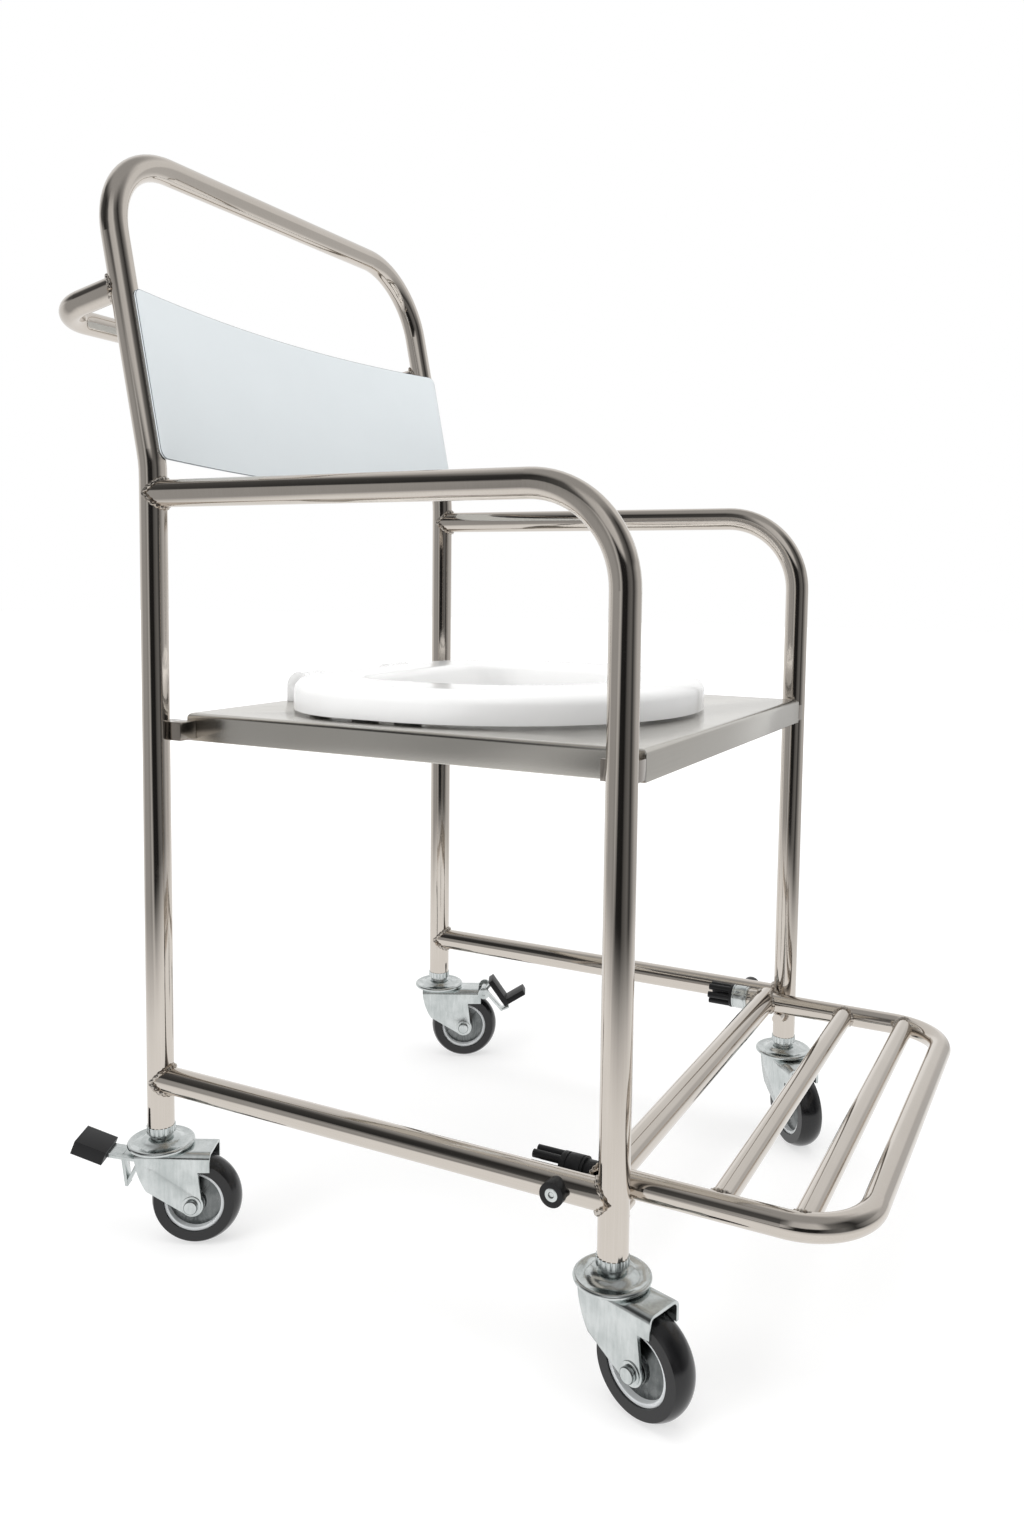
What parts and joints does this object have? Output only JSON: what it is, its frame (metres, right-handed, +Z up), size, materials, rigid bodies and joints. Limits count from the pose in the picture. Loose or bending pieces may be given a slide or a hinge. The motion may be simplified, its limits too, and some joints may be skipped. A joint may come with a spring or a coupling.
{
  "type": "shower commode chair",
  "caption": "Mobile shower commode chair: bent steel tube frame on swivel castors, pan seat with hinged toilet ring, bowed back panel, push handle, flip-up footrest, pedal brakes.",
  "frame": {"origin": "on the floor, midway between the four leg axes", "axes": "+Z up, the chair faces -Y, the sitter's right is -X"},
  "size_m": [0.5465, 0.7022, 0.917],
  "materials": {
    "stainless_tube": "polished, slightly warm",
    "zinc_steel": "bright zinc plate",
    "white_plastic": "white gloss",
    "grey_plastic": "satin grey",
    "black_rubber": "matt black",
    "tyre_rubber": "matt black",
    "back_sheet": "pale blue-grey satin"
  },
  "bodies": {
    "frame": {"back_frame": "stainless_tube", "right_side_frame": "stainless_tube", "left_side_frame": "stainless_tube", "right_side_rail": "stainless_tube", "left_side_rail": "stainless_tube", "push_handle": "stainless_tube", "back_panel": "back_sheet", "panel_studs": "zinc_steel", "seat_pan": "stainless_tube", "seat_lugs": "stainless_tube", "hinge_posts": "white_plastic", "hinge_pins": "zinc_steel", "pivot_bolts": "zinc_steel", "pivot_caps": "black_rubber", "cap_washers": "zinc_steel", "stop_pegs": "stainless_tube", "leg_plugs": "zinc_steel", "castor_stems": "zinc_steel", "stem_nuts": "zinc_steel", "swivel_heads": "zinc_steel", "bearing_rings": "zinc_steel"},
    "toilet_ring": {"toilet_ring": "white_plastic", "ring_buffers": "grey_plastic"},
    "footrest": {"footrest_frame": "stainless_tube", "footrest_bar": "stainless_tube", "footrest_slats": "stainless_tube", "pivot_tails": "stainless_tube", "tail_collars": "zinc_steel", "pivot_plugs": "black_rubber"},
    "right_rear_castor": {"right_rear_fork": "zinc_steel", "right_rear_axle": "zinc_steel", "right_brake_pin": "zinc_steel"},
    "right_rear_wheel": {"right_rear_hub": "grey_plastic", "right_rear_tyre": "tyre_rubber"},
    "right_front_castor": {"right_front_fork": "zinc_steel", "right_front_axle": "zinc_steel"},
    "right_front_wheel": {"right_front_hub": "grey_plastic", "right_front_tyre": "tyre_rubber"},
    "left_front_castor": {"left_front_fork": "zinc_steel", "left_front_axle": "zinc_steel"},
    "left_front_wheel": {"left_front_hub": "grey_plastic", "left_front_tyre": "tyre_rubber"},
    "left_rear_castor": {"left_rear_fork": "zinc_steel", "left_rear_axle": "zinc_steel", "left_brake_pin": "zinc_steel"},
    "left_rear_wheel": {"left_rear_hub": "grey_plastic", "left_rear_tyre": "tyre_rubber"},
    "right_brake": {"right_brake_lever": "zinc_steel", "right_brake_cap": "black_rubber"},
    "left_brake": {"left_brake_lever": "zinc_steel", "left_brake_cap": "black_rubber"}
  },
  "joints": [
    {"name": "ring_hinge", "type": "hinge", "parent": "frame", "child": "toilet_ring", "pos_m": [0, 0.168, 0.461], "axis": [-1, 0, 0], "range_deg": [0, 92]},
    {"name": "footrest_hinge", "type": "hinge", "parent": "frame", "child": "footrest", "pos_m": [0, -0.1665, 0.14], "axis": [-1, 0, 0], "range_deg": [0, 100]},
    {"name": "right_rear_swivel", "type": "hinge", "parent": "frame", "child": "right_rear_castor", "pos_m": [-0.223, 0.206, 0.082], "axis": [0, 0, 1], "continuous": true},
    {"name": "right_rear_spin", "type": "hinge", "parent": "right_rear_castor", "child": "right_rear_wheel", "pos_m": [-0.20985, 0.17904, 0.0375], "axis": [-0.8988, -0.4384, 0], "continuous": true},
    {"name": "right_front_swivel", "type": "hinge", "parent": "frame", "child": "right_front_castor", "pos_m": [-0.223, -0.206, 0.082], "axis": [0, 0, 1], "continuous": true},
    {"name": "right_front_spin", "type": "hinge", "parent": "right_front_castor", "child": "right_front_wheel", "pos_m": [-0.23177, -0.23469, 0.0375], "axis": [-0.9563, 0.2924, 0], "continuous": true},
    {"name": "left_front_swivel", "type": "hinge", "parent": "frame", "child": "left_front_castor", "pos_m": [0.223, -0.206, 0.082], "axis": [0, 0, 1], "continuous": true},
    {"name": "left_front_spin", "type": "hinge", "parent": "left_front_castor", "child": "left_front_wheel", "pos_m": [0.20071, -0.22607, 0.0375], "axis": [-0.6691, 0.7431, 0], "continuous": true},
    {"name": "left_rear_swivel", "type": "hinge", "parent": "frame", "child": "left_rear_castor", "pos_m": [0.223, 0.206, 0.082], "axis": [0, 0, 1], "continuous": true},
    {"name": "left_rear_spin", "type": "hinge", "parent": "left_rear_castor", "child": "left_rear_wheel", "pos_m": [0.23662, 0.17927, 0.0375], "axis": [-0.891, -0.454, 0], "continuous": true},
    {"name": "right_brake_pedal", "type": "hinge", "parent": "right_rear_castor", "child": "right_brake", "pos_m": [-0.22467, 0.20942, 0.07015], "axis": [-0.8988, -0.4384, 0], "range_deg": [0, 15]},
    {"name": "left_brake_pedal", "type": "hinge", "parent": "left_rear_castor", "child": "left_brake", "pos_m": [0.24729, 0.15833, 0.0782], "axis": [0.891, 0.454, 0], "range_deg": [0, 15]}
  ]
}
